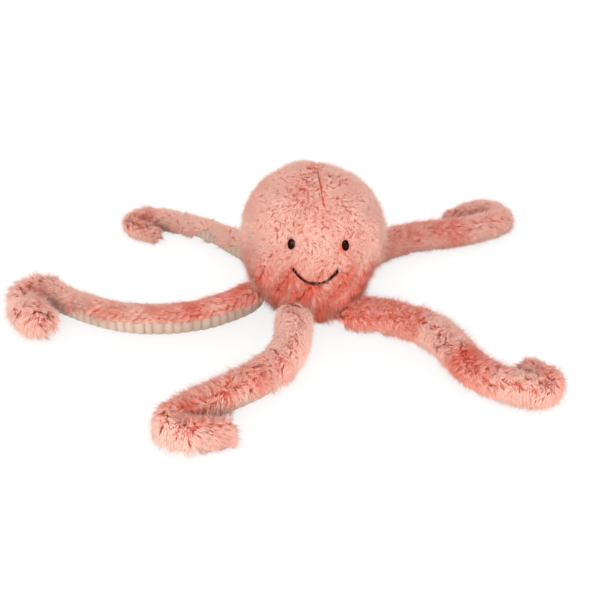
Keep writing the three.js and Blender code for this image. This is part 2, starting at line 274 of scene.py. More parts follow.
def plushPile():
    # Long polyester pile: matt fibres. Along each fibre the colour runs from deep coral at the root, painted
    # shade for the light lost between the fibres, to pale at the combed end, painted glow for the light
    # through the thin ends. The map holds the tuft's tone across and the way up the fibre.
    material, tree = newMaterial("plush_pile")
    where = addNode(tree, "ShaderNodeUVMap", {"uv_map": "OFBake"})
    split = addNode(tree, "ShaderNodeSeparateXYZ", {}, {0: where.outputs[0]})
    deep = addNode(tree, "ShaderNodeValToRGB",
                   {"stops": [(0.0, "#CC3E2B"), (0.4, "#D04C37"), (0.75, "#DC6650"), (1.0, "#E6826C")]},
                   {0: split.outputs["Y"]})
    pale = addNode(tree, "ShaderNodeValToRGB",
                   {"stops": [(0.0, "#D6624B"), (0.3, "#E28D79"), (0.65, "#EFC0B1"), (1.0, "#F4DED5")]},
                   {0: split.outputs["Y"]})
    colour = addNode(tree, "ShaderNodeMix", {"data_type": "RGBA"},
                     {0: split.outputs["X"], 6: deep.outputs[0], 7: pale.outputs[0]})
    shader = addNode(tree, "ShaderNodeBsdfPrincipled",
                     {"Roughness": 0.85, "Specular IOR Level": 0.2, "Sheen Weight": 0.14,
                      "Sheen Roughness": 0.45, "Sheen Tint": linear("#FFCFC0")},
                     {"Base Color": colour.outputs[2]})
    addNode(tree, "ShaderNodeOutputMaterial", {}, {"Surface": shader.outputs[0]})
    return material


def jumboCord():
    # Jumbo cord: cut velvet ribs of cotton and polyester, cream on their crests and darker in the grooves,
    # where the darkening is painted shade
    material, tree = newMaterial("jumbo_cord")
    rise = addNode(tree, "ShaderNodeAttribute", {"attribute_name": "rib"})
    where = addNode(tree, "ShaderNodeTexCoord")
    nap = addNode(tree, "ShaderNodeTexNoise", {"Scale": 1 / (5 * mm), "Detail": 3.0},
                  {"Vector": where.outputs["Object"]})
    fine = addNode(tree, "ShaderNodeTexNoise", {"Scale": 1 / (0.9 * mm), "Detail": 2.0},
                   {"Vector": where.outputs["Object"]})
    colour = addNode(tree, "ShaderNodeValToRGB",
                     {"stops": [(0.0, "#7F6354"), (0.35, "#A08678"), (0.75, "#AE9789"), (1.0, "#B8A294")]},
                     {0: rise.outputs["Fac"]})
    worn = addNode(tree, "ShaderNodeMix", {"data_type": "RGBA", "blend_type": "MULTIPLY", 0: 0.2},
                   {6: colour.outputs[0], 7: nap.outputs["Fac"]})
    bump = addNode(tree, "ShaderNodeBump", {"Strength": 0.4, "Distance": 0.4 * mm},
                   {"Height": fine.outputs["Fac"]})
    shader = addNode(tree, "ShaderNodeBsdfPrincipled",
                     {"Roughness": 0.9, "Specular IOR Level": 0.15, "Sheen Weight": 0.3,
                      "Sheen Roughness": 0.5, "Sheen Tint": linear("#FFF6E8")},
                     {"Base Color": worn.outputs[2], "Normal": bump.outputs[0]})
    addNode(tree, "ShaderNodeOutputMaterial", {}, {"Surface": shader.outputs[0]})
    return material


# Stuffs with a fine mottle: its grain in millimetres, its two tones on the ramp, and the finish
mottledStuffs = {
    # Knitted ground of the pile fabric: a deep coral that only shows where the pile parts
    "knit_backing": {"grain": 2.2, "tones": [(0.3, "#DA6450"), (0.7, "#E07460")],
                     "finish": {"Roughness": 0.95, "Specular IOR Level": 0.1}},
    # Rayon embroidery thread laid side by side: dark brown, with hardly any gloss
    "satin_thread": {"grain": 0.8, "tones": [(0.3, "#140503"), (0.7, "#2A0F08")],
                     "finish": {"Roughness": 0.8, "Specular IOR Level": 0.03}},
    # What lies inside: cotton cloth, and pellets that are a little smoother
    "cotton_lawn": {"grain": 1.2, "tones": [(0.35, "#DDD4C2"), (0.65, "#EFE9DC")],
                    "finish": {"Roughness": 0.9}},
    "polythene_pellets": {"grain": 3.0, "tones": [(0.35, "#B9B2A2"), (0.65, "#E4DFD2")],
                          "finish": {"Roughness": 0.45}},
}


def mottledStuff(name):
    stuff = mottledStuffs[name]
    material, tree = newMaterial(name)
    where = addNode(tree, "ShaderNodeTexCoord")
    mottle = addNode(tree, "ShaderNodeTexNoise", {"Scale": 1 / (stuff["grain"] * mm), "Detail": 2.0},
                     {"Vector": where.outputs["Object"]})
    colour = addNode(tree, "ShaderNodeValToRGB", {"stops": stuff["tones"]}, {0: mottle.outputs[0]})
    shader = addNode(tree, "ShaderNodeBsdfPrincipled", stuff["finish"], {"Base Color": colour.outputs[0]})
    addNode(tree, "ShaderNodeOutputMaterial", {}, {"Surface": shader.outputs[0]})
    return material


# Pile: tufts of tapering wisps that grow from the cloth

wisp = {
    "perTuft": 11,  # each wisp stands for some thirty fibres, which are too fine to show
    "longer": 1.0,  # its height as a multiple of the tuft's
    "paler": 0.0,  # share by which its tone lies above the tuft's
    "ring": 0.5,  # share of its length at which it is widest
    "wide": 0.85,  # millimetres, as thick, sink and stray
    "thick": 0.5,
    "sink": 0.8,  # how far below the cloth it starts
    "uneven": 0.28,  # share by which its height varies
    "stray": 0.95,  # how far an end strays
    "toneSpread": 0.07,
}

fluff = {
    "perTuft": 6,  # loose fibres that stand out of the pile and soften its edge
    "longer": 1.6,
    # its paler tone is a painted glow, for the light that shines through the pile's loose edge
    "paler": 0.2,
    "ring": 0.0,
    "wide": 0.28,
    "thick": 0.26,
    "sink": 0.5,
    "uneven": 0.35,
    "stray": 1.9,
    "toneSpread": 0.1,
}

# How a strand bends over, and what it keeps clear of (millimetres)
strandShape = {
    "bendHeight": 0.62,  # share of the strand's height at which it bends
    "bendDrawn": 0.25,  # shares of the tip's way to its lock, and to the tuft's middle, that the bend goes
    "bendPull": 0.3,
    "tipClear": 1.1,  # how far from a parting tips and bends keep
    "bendClear": 0.6,
    "mostAside": 9,  # how far they are moved at most for that
    "floorClear": 0.3,
    "tuftSpread": 0.72,  # how widely a tuft's roots spread, as a share of the tufts' spacing
}

lockShape = {
    "reach": 0.6,  # from a lock's middle to its edge, as a share of its size
    "edgeGain": 2.2,  # how soon the edge parts as the tufts draw together
    "rise": 0.05,  # shares by which a lock stands higher, and lower at its edge
    "dip": 0.14,
    "lighten": 0.1,  # what its tone gains, and loses at its edge as painted shade in the parting
    "darken": 0.55,
}


def keepAside(points, roots, partings, reach):
    # Ends of strands that near a seam are moved off it, to the side on which they grow
    for normal, offset, low, high in partings:
        gap = points @ normal - offset
        side = np.sign(roots @ normal - offset)
        short = np.clip(reach - gap * side, 0, strandShape["mostAside"])
        inside = (roots[..., 2] > low) & (roots[..., 2] < high) & (roots[..., 1] < 0)
        points = points + normal * (side * short * inside)[..., None]
    return points


def growStrands(tufts, strand, rng):
    # Every strand is a curve from its root straight up out of the cloth, then over towards its tip:
    # (1-t)^2 root + 2t(1-t) bend + t^2 tip, with three corners where it is widest
    per = strand["perTuft"]
    count = len(tufts["at"])
    step = np.arange(per)
    turn = rng.uniform(0, 2 * np.pi, (count, 1)) + step * golden
    radius = np.sqrt((step + 0.5) / per) * tufts["spread"][:, None]
    radius = radius * rng.uniform(0.75, 1.2, (count, per))
    out, flow = tufts["out"][:, None], tufts["flow"][:, None]
    side = np.cross(out, flow)
    offset = (radius * np.cos(turn))[..., None] * flow + (radius * np.sin(turn))[..., None] * side
    uneven = rng.uniform(1 - strand["uneven"], 1 + strand["uneven"], (count, per))
    tall = tufts["height"][:, None] * uneven * strand["longer"]
    pull = tufts["pull"][:, None, None]
    loose = tufts["loose"] ** (1 - strand["paler"])  # smooth combing holds the fluff down a little less
    stray = rng.normal(0, strand["stray"], (count, per, 3)) * loose[:, None, None]
    at = tufts["at"][:, None]
    root = at + offset - out * strand["sink"]
    bend = (at + offset * (1 - strandShape["bendPull"] * pull)
            + out * (tall * strandShape["bendHeight"])[..., None]
            + tufts["drawn"][:, None] * strandShape["bendDrawn"])
    tip = (at + offset * (1 - pull) + out * tall[..., None]
           + flow * (tufts["lean"][:, None] * strand["longer"])[..., None] + tufts["drawn"][:, None] + stray)
    tip = keepAside(tip, root, tufts.get("partings", []), strandShape["tipClear"])
    bend = keepAside(bend, root, tufts.get("partings", []), strandShape["bendClear"])
    along = unit(tip - root)
    broad = unit(np.cross(along, rng.normal(size=along.shape)))
    narrow = np.cross(along, broad)
    corner = np.arange(3) * 2 * np.pi / 3
    ring = (np.cos(corner)[:, None] * broad[..., None, :] * strand["wide"] / 2
            + np.sin(corner)[:, None] * narrow[..., None, :] * strand["thick"] / 2)
    t = strand["ring"]
    middle = (1 - t) ** 2 * root + 2 * t * (1 - t) * bend + t * t * tip
    rows = [middle[..., None, :] + ring, tip[..., None, :]]
    if t > 0:
        rows.append(root[..., None, :])
    points = np.concatenate(rows, -2).reshape(-1, 3)
    points[:, 2] = np.maximum(points[:, 2], strandShape["floorClear"])
    tone = tufts["tone"][:, None] * (1 + strand["paler"])
    tone = tone + rng.normal(0, strand["toneSpread"], (count, per)) * tufts["streak"][:, None]
    return points, strandFaces(strand, count * per), strandCorners(strand, np.clip(tone, 0.03, 0.97).ravel())


def strandPattern(strand):
    # One strand's triangles: three that meet at the tip, and three at the root or one across its foot
    found = [(k, (k + 1) % 3, 3) for k in range(3)]
    found += [((k + 1) % 3, k, 4) for k in range(3)] if strand["ring"] > 0 else [(0, 2, 1)]
    return np.array(found)


def strandFaces(strand, count):
    each = 5 if strand["ring"] > 0 else 4
    return (np.arange(count)[:, None, None] * each + strandPattern(strand)[None]).reshape(-1, 3)


def strandCorners(strand, tone):
    # Across the map lies the tone, a hair wide so that it holds a pixel, and up it the way up the strand
    across = np.array([-1, 0, 1, 0, 0]) * 0.008
    up = 0.02 + 0.96 * np.array([strand["ring"]] * 3 + [1.0, 0.0])
    u = tone[:, None] + across[None]
    v = np.broadcast_to(up, u.shape)
    pattern = strandPattern(strand).ravel()
    return np.stack([u[:, pattern], v[:, pattern]], -1).reshape(-1, 2)


def growPile(name, tufts, material, seed):
    # Wisps and fluff of the same tufts, in one mesh
    rng = np.random.default_rng(seed)
    body, bodyFaces, bodyUv = growStrands(tufts, wisp, rng)
    hair, hairFaces, hairUv = growStrands(tufts, fluff, rng)
    faces = [np.concatenate([bodyFaces, hairFaces + len(body)])]
    uv = np.concatenate([bodyUv, hairUv])
    return meshPiece(name, np.concatenate([body, hair]), faces, material, uv)


def drawTogether(tufts, lockSize, strength):
    # Tufts lean towards the middle of the lock they stand in, and part at its edge in a line of deeper tone,
    # painted shade in the parting
    at = tufts["at"]
    perLock = max(1, round(lockSize ** 2 / tufts["spacing"] ** 2))
    middles = at[::perLock]
    nearest = np.concatenate([((part[:, None] - middles[None]) ** 2).sum(-1).argmin(1)
                              for part in np.array_split(at, max(1, len(at) // 800))])
    away = middles[nearest] - at
    away -= tufts["out"] * (away * tufts["out"]).sum(-1, keepdims=True)
    gap = np.linalg.norm(away, axis=-1) / (lockSize * lockShape["reach"])
    strength = np.clip(strength, 0, 1)
    tufts["drawn"] += away * strength[:, None]
    edge = np.clip(gap, 0, 1) ** 2 * np.clip(strength * lockShape["edgeGain"], 0, 1)
    tufts["height"] *= 1 + lockShape["rise"] * strength - lockShape["dip"] * edge
    # The deeper tone at a lock's edge is painted shade in the parting
    tufts["tone"] = tufts["tone"] + lockShape["lighten"] * strength - lockShape["darken"] * edge
    return tufts


def chosen(tufts, keep):
    return {k: v[keep] if isinstance(v, np.ndarray) else v for k, v in tufts.items()}


# Head: the same body of turned outline as the frame's, and how its pile lies

headSet = {
    "radius": 67,
    "middle": 68,  # height of the ball's middle
    "depth": 72,  # how deep the underside's curve would go
    "power": 2.2,  # fullness of the underside
    "seamHeight": 9,  # where the pile ends and the base cloth begins
    "sideSeam": 8,  # the side seams lie this far behind the middle
    "inset": 3.9,  # from the frame's outside in to the cloth that the pile grows from
    "pile": 3.5,  # how high the pile stands
    "sweep": 4.6,  # how far it lies over
    "spacing": 2.3,  # from tuft to tuft
    "lock": 7,  # how wide the clumps are that tufts draw together in
    "seamGroove": 2.6,  # how wide a seam's groove in the pile is
    "lump": 0.9,  # how high the low lumps of the stuffing are
    "dartLongitude": 7.5,  # degrees, as are the dart's lower and upper latitude
    "dartFrom": 44,
    "dartTo": 80,
    "cheeks": [(-27, 1), (27, 0.35)],  # patches of a deeper tone beside the smile: longitude and strength
    "cheekSize": 11,  # from a patch's middle to where it has mostly faded
    "seamShort": 0.28,  # shares by which the pile at a seam is shorter, and deeper in tone as painted shade in the seam's groove
    "seamShade": 0.22,
    "seamLean": 1.6,  # how far it leans away from the seam
    "floorBand": (26, 10),  # heights between which the pile grows longer towards the floor
    "floorLength": 2.5,
    "rootBand": (42, 22),  # distances from a leg's root between which it grows longer
    "rootLength": 2.6,
    "rootLean": 2.4,
    # Where the stuffing leaves the cloth slack: longitude, latitude, depth (mm) and spread (degrees)
    "hollows": [(130, 48, 4.0, 35), (95, 10, 2.0, 45), (67, -36, 11.0, 28), (-70, -38, 4.0, 24)],
}

# Angles in degrees on the head's ball, sizes in millimetres
faceSet = {
    "turn": 1,  # how far the whole face is turned to the side, and rolled about the next latitude
    "roll": 2.0,
    "latitude": 6,
    "eyeLongitude": 21.3,
    "eyeLatitude": 17.6,
    "eyeWidth": 6.4,
    "eyeHeight": 9.4,
    "eyeDepth": 3.2,
    "eyeSink": 1.4,  # how far inside the head's outline an eye's middle lies
    "stitch": 0.55,  # from stitch to stitch
    "ridge": 0.16,  # how high a stitch stands
    "frill": 0.1,  # how far stitches' ends stand out at the sides
    "eyeGap": 0.93,  # no pile grows within this share of the eye's size
    "smileGap": 2.3,  # nor this near the smile's middle line
    "eyeShort": (2.1, 1.0),  # eye sizes, and distances from the smile, between which it grows shorter
    "smileShort": (5.0, 1.5),
    "smileAside": -1.5,
    "smileHalf": 16.3,
    "smileLatitude": -0.5,
    "smileDrop": 10.8,
    "smilePower": 2.3,
    "smileThread": 2.1,
    "smileTwist": 3.4,  # one turn of the thread
    "smileSink": 1.6,  # how deep its ends go in
}


def headRadiusAt(height, inset):
    # A circle above the middle, and below it a fuller curve of the underside's power
    radius = headSet["radius"] - inset
    up = height >= headSet["middle"]
    depth = np.where(up, radius, headSet["depth"] - inset)
    power = np.where(up, 2.0, headSet["power"])
    rise = np.clip(np.abs(height - headSet["middle"]) / depth, 0, 1)
    return radius * (1 - rise ** power) ** (1 / power)


def headSurface(height, longitude, inset):
    # A point on the turned outline, with low lumps; longitude 0 faces the front, plus is towards +X
    radius = headRadiusAt(height, inset)
    plain = np.stack([np.sin(longitude) * radius, -np.cos(longitude) * radius, height], -1)
    centre = np.array([0, 0, headSet["middle"]])
    out = unit(plain - centre)
    rise = drift(plain, 55, 3) * headSet["lump"] - headSet["lump"] * 0.5
    for lon, lat, depth, spread in headSet["hollows"]:
        lon, lat = math.radians(lon), math.radians(lat)
        way = np.array([math.sin(lon) * math.cos(lat), -math.cos(lon) * math.cos(lat), math.sin(lat)])
        angle = np.degrees(np.arccos(np.clip(out @ way, -1, 1)))
        rise = rise - depth * np.exp(-(angle / spread) ** 2)
    return plain + out * rise[..., None]


def headTable(inset):
    # Heights and the share of the surface below them, to spread points evenly
    low, high = headSet["seamHeight"] - 5, headSet["middle"] + headSet["radius"] - inset
    angle = np.linspace(0, np.pi, 900)
    height = (low + high) / 2 - (high - low) / 2 * np.cos(angle)
    radius = headRadiusAt(height, inset)
    band = np.hypot(np.diff(height), np.diff(radius)) * (radius[1:] + radius[:-1]) * np.pi
    area = np.concatenate([[0], np.cumsum(band)])
    return height, area


def facePoint(longitude, latitude, radius):
    # Longitude and latitude on the face, turned and rolled with it, as a point on a ball
    roll = math.radians(faceSet["roll"])
    up = latitude - faceSet["latitude"]
    lon = np.radians(longitude * math.cos(roll) + up * math.sin(roll) + faceSet["turn"])
    lat = np.radians(up * math.cos(roll) - longitude * math.sin(roll) + faceSet["latitude"])
    return np.stack([np.sin(lon) * np.cos(lat) * radius, -np.cos(lon) * np.cos(lat) * radius,
                     headSet["middle"] + np.sin(lat) * radius], -1)


def smilePath(steps, radius):
    # Flat-bottomed U: the drop is a power of the way out from the middle
    share = np.linspace(-1, 1, steps)
    drop = faceSet["smileDrop"] * (1 - np.abs(share) ** faceSet["smilePower"])
    longitude = share * faceSet["smileHalf"] + faceSet["smileAside"]
    return facePoint(longitude, faceSet["smileLatitude"] - drop, radius)


def nearestOn(points, targets):
    # The distance to the nearest of some points, and the way from it
    away = points[:, None] - targets[None]
    gap = np.linalg.norm(away, axis=-1)
    best = gap.argmin(1)
    rows = np.arange(len(points))
    return gap[rows, best], away[rows, best]


def headTufts():
    inset = headSet["inset"]
    height, area = headTable(inset)
    count = int(area[-1] / headSet["spacing"] ** 2)
    index = np.arange(count) + 0.5
    rng = np.random.default_rng(11)
    tall = np.interp(index / count * area[-1], area, height)
    longitude = (index * golden + np.pi) % (2 * np.pi) - np.pi
    tall = tall + rng.normal(0, 0.5, count)
    longitude = longitude + rng.normal(0, 0.5, count) / np.maximum(headRadiusAt(tall, inset), 12)
    at = headSurface(tall, longitude, inset)
    step = 0.5
    above = headSurface(tall + step * (tall < headSet["middle"]), longitude, inset)
    below = headSurface(tall - step * (tall >= headSet["middle"]), longitude, inset)
    up = above - below
    around = headSurface(tall, longitude + 0.01, inset) - at
    out = unit(np.cross(around, up))
    down = -unit(up)
    side = np.cross(out, down)
    upper = blendStep(45, 75, at[:, 2])
    swirl = drift(at, 26, 21) * 0.8 + drift(at, 10, 22) * 0.3 + rng.normal(0, 0.5, count)
    crown = np.exp(-(np.hypot(at[:, 0], at[:, 1]) / 15) ** 2) * (at[:, 2] > headSet["middle"])
    flow = (down * np.cos(swirl)[:, None] + side * np.sin(swirl)[:, None]
            + np.array([0, -1.6, 0]) * crown[:, None])
    flow = unit(flow - out * (flow * out).sum(-1, keepdims=True))

    lower = blendStep(86, 48, at[:, 2])
    frontward = -at[:, 1] / np.maximum(np.hypot(at[:, 0], at[:, 1]), 1)
    chin = blendStep(72, 40, at[:, 2]) * blendStep(0.35, 0.8, frontward)
    cheek = 0
    for aside, weight in headSet["cheeks"]:
        gap = np.linalg.norm(at - facePoint(aside, 0, headSet["radius"]), axis=-1)
        cheek = cheek + weight * np.exp(-(gap / headSet["cheekSize"]) ** 2)
    tufts = {
        "at": at, "out": out, "flow": flow, "spacing": headSet["spacing"],
        "height": headSet["pile"] * (1 + 0.3 * lower + 0.08 * drift(at, 18, 23)),
        "lean": headSet["sweep"] * (0.7 + 0.4 * lower + 0.12 * drift(at, 14, 24)),
        "spread": np.full(count, headSet["spacing"] * strandShape["tuftSpread"]),
        "loose": 1 - 0.2 * upper,
        "streak": 1 + 1.8 * lower,
        "pull": 0.05 + 0.3 * lower + 0.1 * rng.uniform(-1, 1, count),
        "drawn": np.zeros((count, 3)),
        "tone": 0.82 - 0.13 * lower - 0.26 * chin - 0.18 * cheek + 0.06 * drift(at, 30, 25)
        + rng.normal(0, 0.03, count) * (1 + 5 * lower),
    }
    level = blendStep(34, 12, at[:, 2])
    front = blendStep(0, 0.7, frontward)
    together = 0.34 * lower + 0.2 * chin + 0.2 * cheek + 0.5 * level * front
    tufts = drawTogether(tufts, headSet["lock"], together)
    tufts = drawTogether(tufts, headSet["lock"] * 1.8, 0.4 * level * front)

    # Seams draw the pile in: it stands lower there and leans away on both sides, and its tone is deeper in
    # the groove as painted shade
    seams = [(at[:, 1] - headSet["sideSeam"], np.array([0, 1.0, 0]), blendStep(132, 110, at[:, 2]) * 0.7)]
    seams.append((at[:, 0], np.array([1.0, 0, 0]), (at[:, 1] > headSet["sideSeam"]) * 1.0))
    turn = math.radians(headSet["dartLongitude"])
    across = np.array([math.cos(turn), math.sin(turn), 0])
    latitude = np.degrees(np.arcsin(np.clip((at[:, 2] - headSet["middle"]) / headSet["radius"], -1, 1)))
    inDart = (blendStep(headSet["dartFrom"] - 4, headSet["dartFrom"] + 4, latitude)
              * blendStep(headSet["dartTo"] + 4, headSet["dartTo"] - 4, latitude) * (at[:, 1] < 0))
    seams.append((at @ across, across, inDart * 0.9))
    low, high = (headSet["middle"] + headSet["radius"] * math.sin(math.radians(headSet[k]))
                 for k in ("dartFrom", "dartTo"))
    tufts["partings"] = [(across, 0.0, low, high)]
    for gap, away, weight in seams:
        deep = np.exp(-(gap / headSet["seamGroove"]) ** 2) * weight
        tufts["height"] *= 1 - headSet["seamShort"] * deep
        tufts["tone"] -= headSet["seamShade"] * deep
        tufts["drawn"] += away * (np.sign(gap) * deep * headSet["seamLean"])[:, None]

    # Near the legs' roots and the floor the pile is longer and lies over the roots, and its tone is deeper
    # there as painted shade under the ball and between it and the legs
    level = blendStep(*headSet["floorBand"], at[:, 2])
    tufts["tone"] -= 0.06 * level * front
    tufts["height"] += headSet["floorLength"] * level
    tufts["drawn"] += (out * [1, 1, 0] * 2.0 - np.array([0, 0, 3.0])) * level[:, None]
    for name in legs:
        way = jointSpot[f"{name}_leg_root"] - at
        gap = np.linalg.norm(way, axis=-1)
        near = blendStep(*headSet["rootBand"], gap)
        tufts["height"] += headSet["rootLength"] * near
        tufts["drawn"] += way / gap[:, None] * (near * headSet["rootLean"])[:, None]
        tufts["tone"] -= 0.08 * near * front

    # Short pile round the embroidery, none under it
    gap, away = nearestOn(at, smilePath(60, headSet["radius"] - inset))
    near = blendStep(*faceSet["smileShort"], gap)
    keep = gap > faceSet["smileGap"]
    tufts["drawn"] += away / gap[:, None] * (near * 1.6)[:, None]
    for sign in (-1, 1):
        eye = facePoint(sign * faceSet["eyeLongitude"], faceSet["eyeLatitude"], headSet["radius"] - inset)
        offset = at - eye
        reach = np.hypot(offset[:, 0] / (faceSet["eyeWidth"] / 2), offset[:, 2] / (faceSet["eyeHeight"] / 2))
        reach = np.where(at[:, 1] < 0, reach, 9)
        near = np.maximum(near, blendStep(*faceSet["eyeShort"], reach))
        keep &= reach > faceSet["eyeGap"]
    tufts["height"] *= 1 - 0.45 * near
    tufts["lean"] *= 1 - 0.6 * near
    return chosen(tufts, keep)


def buildHead(materials):
    inset = headSet["inset"]
    # The stuffed form: a closed turned skin under the pile
    rows, columns = 90, 140
    top, low = headSet["middle"] + headSet["radius"] - inset - 0.05, 2.6
    angle = np.linspace(0, np.pi, rows)
    height = (low + top) / 2 - (top - low) / 2 * np.cos(angle)
    longitude = np.linspace(0, 2 * np.pi, columns, endpoint=False)
    height, longitude = np.meshgrid(height, longitude, indexing="ij")
    skin = closedTube("head_skin", headSurface(height, longitude, inset), materials["backing"])
    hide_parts("head_filling")
    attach(skin, "head")

    tufts = headTufts()
    at = tufts["at"]
    front = at[:, 1] < headSet["sideSeam"]
    parts = {
        "face_pile_upper": (front & (at[:, 2] >= 90), "face_panel"),
        "face_pile_middle": (front & (at[:, 2] >= 47) & (at[:, 2] < 90), "face_panel"),
        "face_pile_lower": (front & (at[:, 2] < 47), "face_panel"),
        "back_pile_left": (~front & (at[:, 0] < 0), "head_back_panel_left"),
        "back_pile_right": (~front & (at[:, 0] >= 0), "head_back_panel_right"),
    }
    for number, (name, (keep, node)) in enumerate(parts.items()):
        pile = growPile(name, chosen(tufts, keep), materials["pile"], 100 + number)
        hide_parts(node)
        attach(pile, "head")
        print(name, len(pile.data.polygons), "faces")


def buildFace(materials):
    # Eyes: upright ovals of satin stitches that run across, a little domed
    centre = np.array([0, 0, headSet["middle"]])
    rows, columns = 60, 96
    angle = np.linspace(0.02, np.pi - 0.02, rows)
    turn = np.linspace(0, 2 * np.pi, columns, endpoint=False)
    angle, turn = np.meshgrid(angle, turn, indexing="ij")
    for sign, name in ((-1, "eye_left"), (1, "eye_right")):
        radius = headSet["radius"] - faceSet["eyeSink"]
        middle = facePoint(sign * faceSet["eyeLongitude"], faceSet["eyeLatitude"], radius)
        out = unit(middle - centre)
        side = unit(np.cross([0, 0, 1], out))
        up = np.cross(out, side)
        x = np.sin(angle) * np.cos(turn) * faceSet["eyeWidth"] / 2
        y = np.sin(angle) * np.sin(turn) * faceSet["eyeHeight"] / 2
        z = np.cos(angle) * faceSet["eyeDepth"] / 2
        ridge = np.abs(np.sin(np.pi * y / faceSet["stitch"])) * faceSet["ridge"] * (z > 0)
        frill = faceSet["frill"] * np.sin(2 * np.pi * y / faceSet["stitch"])
        x = x + frill * np.sign(x) * (np.abs(x) > 2)
        points = middle + x[..., None] * side + y[..., None] * up + (z + ridge)[..., None] * out
        eye = closedTube(name + "_stitched", points, materials["thread"])
        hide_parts(name)
        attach(eye, "head")

    # Smile: one thick twisted thread laid along its curve and sunk at both ends
    steps, sides = 220, 18
    path = smilePath(steps, headSet["radius"] + 0.1)
    out = unit(path - centre)
    share = np.linspace(-1, 1, steps)
    sink = blendStep(0.955, 1.0, np.abs(share))
    path = path - out * (sink * faceSet["smileSink"])[:, None]
    along = unit(np.gradient(path, axis=0))
    side = unit(np.cross(along, out))
    length = np.concatenate([[0], np.cumsum(np.linalg.norm(np.diff(path, axis=0), axis=-1))])
    around = np.linspace(0, 2 * np.pi, sides, endpoint=False)
    twist = length[:, None] / faceSet["smileTwist"] * 2 * np.pi
    radius = faceSet["smileThread"] / 2 * (1 + 0.1 * np.abs(np.sin(around[None] + twist)))
    radius = radius * (1 + 0.25 * blendStep(0.85, 0.97, np.abs(share)) - 0.5 * sink)[:, None]
    points = (path[:, None] + (np.cos(around)[None] * radius)[..., None] * side[:, None]
              + (np.sin(around)[None] * radius)[..., None] * np.cross(side, along)[:, None])
    smile = closedTube("mouth_stitched", points, materials["thread"])
    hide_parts("mouth_smile")
    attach(smile, "head")


# Legs: the frame's routes, made of arcs, with a stuffed tube, a strip of cord and the pile

legSize = {
    "length": 255,
    "width": 31,
    "height": 29,
    "swell": 0.05,  # shares by which a leg is fuller in the middle and thinner at the tip
    "taper": 0.2,
    "flat": 0.5,  # what the frame takes off underneath
    "inset": 4.2,  # from the frame's outside in to the cloth
    "floorGap": 1.6,  # from the floor up to the cloth
    "underCord": 2.6,  # how much deeper the cloth lies where the cord covers it
    "pile": 4.4,  # how high the pile stands
    "sweep": 4.4,  # how far it lies over
    "cordSpan": 72,  # degrees of the section to each side that the cord strip takes
    "ribPitch": 7.6,
    "ribDepth": 1.3,
    "crestPower": 0.36,  # the lower, the broader a rib's crest and the narrower its groove
    "ribSteps": 11,  # rows of the mesh to a rib
    "cordThick": 2.4,
    "hem": 0.8,  # how far the strip's edges turn in
    "fringe": 13,  # degrees by which the pile's lowest tufts overlap the strip
    "spacing": 2.5,
    "lock": 4.6,
    "hang": 3.4,  # how far the lowest pile hangs down where the strip lies underneath
    "hangRoll": (34, 50),  # the strip's turns in degrees between which the hanging ends
    "curlWindow": 35,  # length to each side over which a curl's turning is taken
    "blendReach": 15,  # length to each side of the bend that turns with it
}
